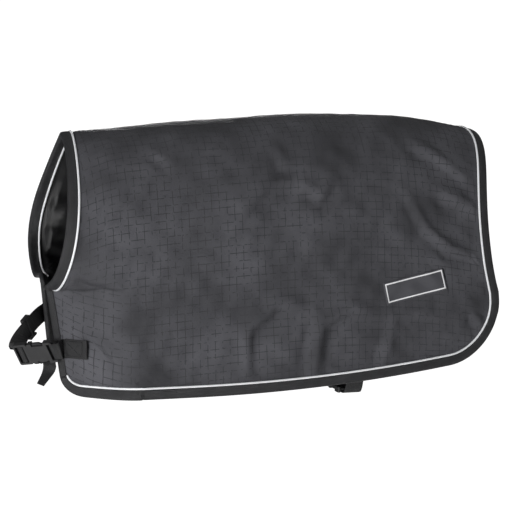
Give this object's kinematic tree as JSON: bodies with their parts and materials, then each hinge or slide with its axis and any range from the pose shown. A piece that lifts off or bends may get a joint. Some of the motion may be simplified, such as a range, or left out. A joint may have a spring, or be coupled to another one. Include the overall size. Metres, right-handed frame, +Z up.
{
  "type": "padded calf coat",
  "caption": "Padded and lined coat for a calf, open under the belly, with bound and piped edges and two webbing straps with side-release buckles.",
  "frame": {"origin": "on the inner face of the lining at the middle of the back, where the animal's spine carries it", "axes": "+Z up, +X towards the tail, so the neck opening is at -X, and -Y is the animal's left side"},
  "size_m": [0.8202, 0.3006, 0.4638],
  "materials": {
    "shell_cloth": "dark grey ripstop, slight sheen",
    "wadding": "loft polyester fill",
    "lining_satin": "glossy black satin",
    "binding_tape": "woven tape",
    "reflective_piping": "reflective, satin",
    "webbing": "woven polypropylene",
    "buckle_plastic": "moulded, fine grain",
    "printed_panel": "coated, blank"
  },
  "bodies": {
    "coat": {"outer_shell": "shell_cloth", "wadding_left": "wadding", "wadding_right": "wadding", "lining": "lining_satin", "neck_binding": "binding_tape", "left_flap_binding": "binding_tape", "right_flap_binding": "binding_tape", "hem_binding": "binding_tape", "neck_piping": "reflective_piping", "neck_piping_inner": "reflective_piping", "hem_piping": "reflective_piping", "name_panel": "printed_panel", "chest_patch_left": "webbing", "chest_patch_right": "webbing", "belly_patch_left": "webbing", "belly_patch_right": "webbing"},
    "chest_closure": {"chest_webbing_left": "webbing", "chest_webbing_right": "webbing", "chest_socket": "buckle_plastic"},
    "chest_clip": {"chest_clip_base": "buckle_plastic"},
    "chest_prong_upper": {"chest_prong_upper": "buckle_plastic"},
    "chest_prong_lower": {"chest_prong_lower": "buckle_plastic"},
    "chest_slider": {"chest_slider": "buckle_plastic"},
    "chest_tail": {"chest_tail": "webbing"},
    "belly_closure": {"belly_webbing_left": "webbing", "belly_webbing_right": "webbing", "belly_socket": "buckle_plastic"},
    "belly_clip": {"belly_clip_base": "buckle_plastic", "belly_tail": "webbing"},
    "belly_prong_rear": {"belly_prong_rear": "buckle_plastic"},
    "belly_prong_front": {"belly_prong_front": "buckle_plastic"},
    "belly_slider": {"belly_slider": "buckle_plastic"}
  },
  "joints": [
    {"name": "chest_closure_swing", "type": "hinge", "parent": "coat", "child": "chest_closure", "pos_m": [-0.3715, -0.05754, -0.36307], "axis": [-0.0266, 0.9117, 0.41], "range_deg": [-3, 14], "stiffness_Nm_per_rad": 0.25, "deforming": ["chest_webbing_left", "chest_webbing_right"]},
    {"name": "chest_clip_pull", "type": "slide", "parent": "chest_closure", "child": "chest_clip", "axis": [-0.7432, 0.657, -0.1264], "range_m": [0, 0.042], "deforming": ["chest_webbing_right", "chest_prong_upper", "chest_prong_lower"]},
    {"name": "chest_prong_squeeze", "type": "hinge", "parent": "chest_clip", "child": "chest_prong_upper", "pos_m": [-0.42599, -0.02932, -0.36335], "axis": [0.5041, 0.6742, 0.5398], "range_deg": [0, 8], "stiffness_Nm_per_rad": 0.3},
    {"name": "chest_prong_lower_squeeze", "type": "hinge", "parent": "chest_clip", "child": "chest_prong_lower", "pos_m": [-0.4172, -0.02257, -0.38], "axis": [-0.5041, -0.6742, -0.5398], "range_deg": [0, 8], "stiffness_Nm_per_rad": 0.3},
    {"name": "chest_slider_shift", "type": "slide", "parent": "chest_closure", "child": "chest_slider", "axis": [-0.6619, -0.5075, -0.5516], "range_m": [-0.02, 0.012], "deforming": ["chest_webbing_right"]},
    {"name": "chest_tail_swing", "type": "hinge", "parent": "chest_clip", "child": "chest_tail", "pos_m": [-0.42452, -0.01508, -0.37001], "axis": [0.1595, -0.688, 0.7079], "range_deg": [0, 12], "stiffness_Nm_per_rad": 0.02},
    {"name": "belly_closure_swing", "type": "hinge", "parent": "coat", "child": "belly_closure", "pos_m": [0.10091, -0.12836, -0.36357], "axis": [0, 1, 0], "range_deg": [-20, 20], "deforming": ["belly_webbing_left", "belly_webbing_right"]},
    {"name": "belly_clip_pull", "type": "slide", "parent": "belly_closure", "child": "belly_clip", "axis": [0, 0.9962, 0.0872], "range_m": [0, 0.042], "deforming": ["belly_webbing_right", "belly_prong_rear", "belly_prong_front"]},
    {"name": "belly_prong_squeeze", "type": "hinge", "parent": "belly_clip", "child": "belly_prong_rear", "pos_m": [0.09091, -0.05352, -0.44307], "axis": [0, -0.0872, 0.9962], "range_deg": [0, 8], "stiffness_Nm_per_rad": 0.3},
    {"name": "belly_prong_front_squeeze", "type": "hinge", "parent": "belly_clip", "child": "belly_prong_front", "pos_m": [0.11091, -0.05352, -0.44307], "axis": [0, 0.0872, -0.9962], "range_deg": [0, 8], "stiffness_Nm_per_rad": 0.3},
    {"name": "belly_slider_shift", "type": "slide", "parent": "belly_closure", "child": "belly_slider", "axis": [0, -0.8211, -0.5708], "range_m": [-0.02, 0.02], "deforming": ["belly_webbing_right"]}
  ],
  "couplings": [
    {"joint": "chest_prong_lower_squeeze", "follows": "chest_prong_squeeze", "ratio": 1},
    {"joint": "belly_prong_front_squeeze", "follows": "belly_prong_squeeze", "ratio": 1}
  ]
}
